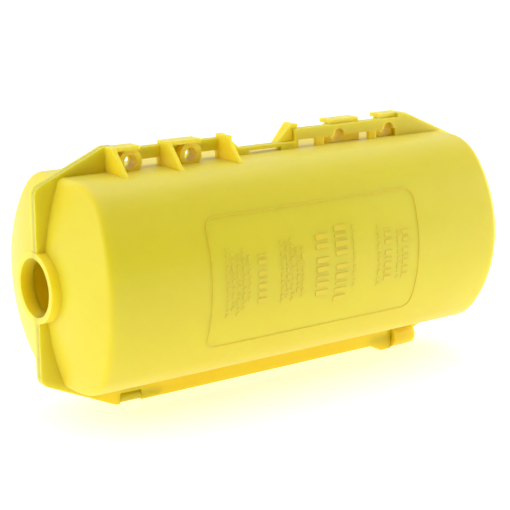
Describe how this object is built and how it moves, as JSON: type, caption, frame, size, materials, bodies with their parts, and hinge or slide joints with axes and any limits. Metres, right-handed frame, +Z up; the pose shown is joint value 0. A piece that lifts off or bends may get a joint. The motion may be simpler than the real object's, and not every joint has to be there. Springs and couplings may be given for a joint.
{
  "type": "plug lockout case",
  "caption": "Hinged clamshell case that closes round an electrical plug and its cord and is held shut by padlocks through the rail on top.",
  "frame": {"origin": "centre of the cord opening's mouth, on the cord's axis and in the plane where the two halves meet", "axes": "+X along the barrel away from the cord opening, +Z up towards the padlock rail, -Y towards the front half"},
  "size_m": [0.2357, 0.0888, 0.1184],
  "materials": {
    "case_front": "satin moulded polypropylene, safety yellow",
    "case_back": "satin moulded polypropylene, safety yellow",
    "pin": "plain drawn steel wire"
  },
  "bodies": {
    "back_half": {"back_shell": "case_back", "hinge_pin_near": "pin", "hinge_pin_far": "pin"},
    "front_half": {"front_shell": "case_front"}
  },
  "joints": [
    {"name": "shell_hinge", "type": "hinge", "parent": "back_half", "child": "front_half", "pos_m": [0.1181, 0, -0.0564], "axis": [1, 0, 0], "range_deg": [0, 160]}
  ]
}
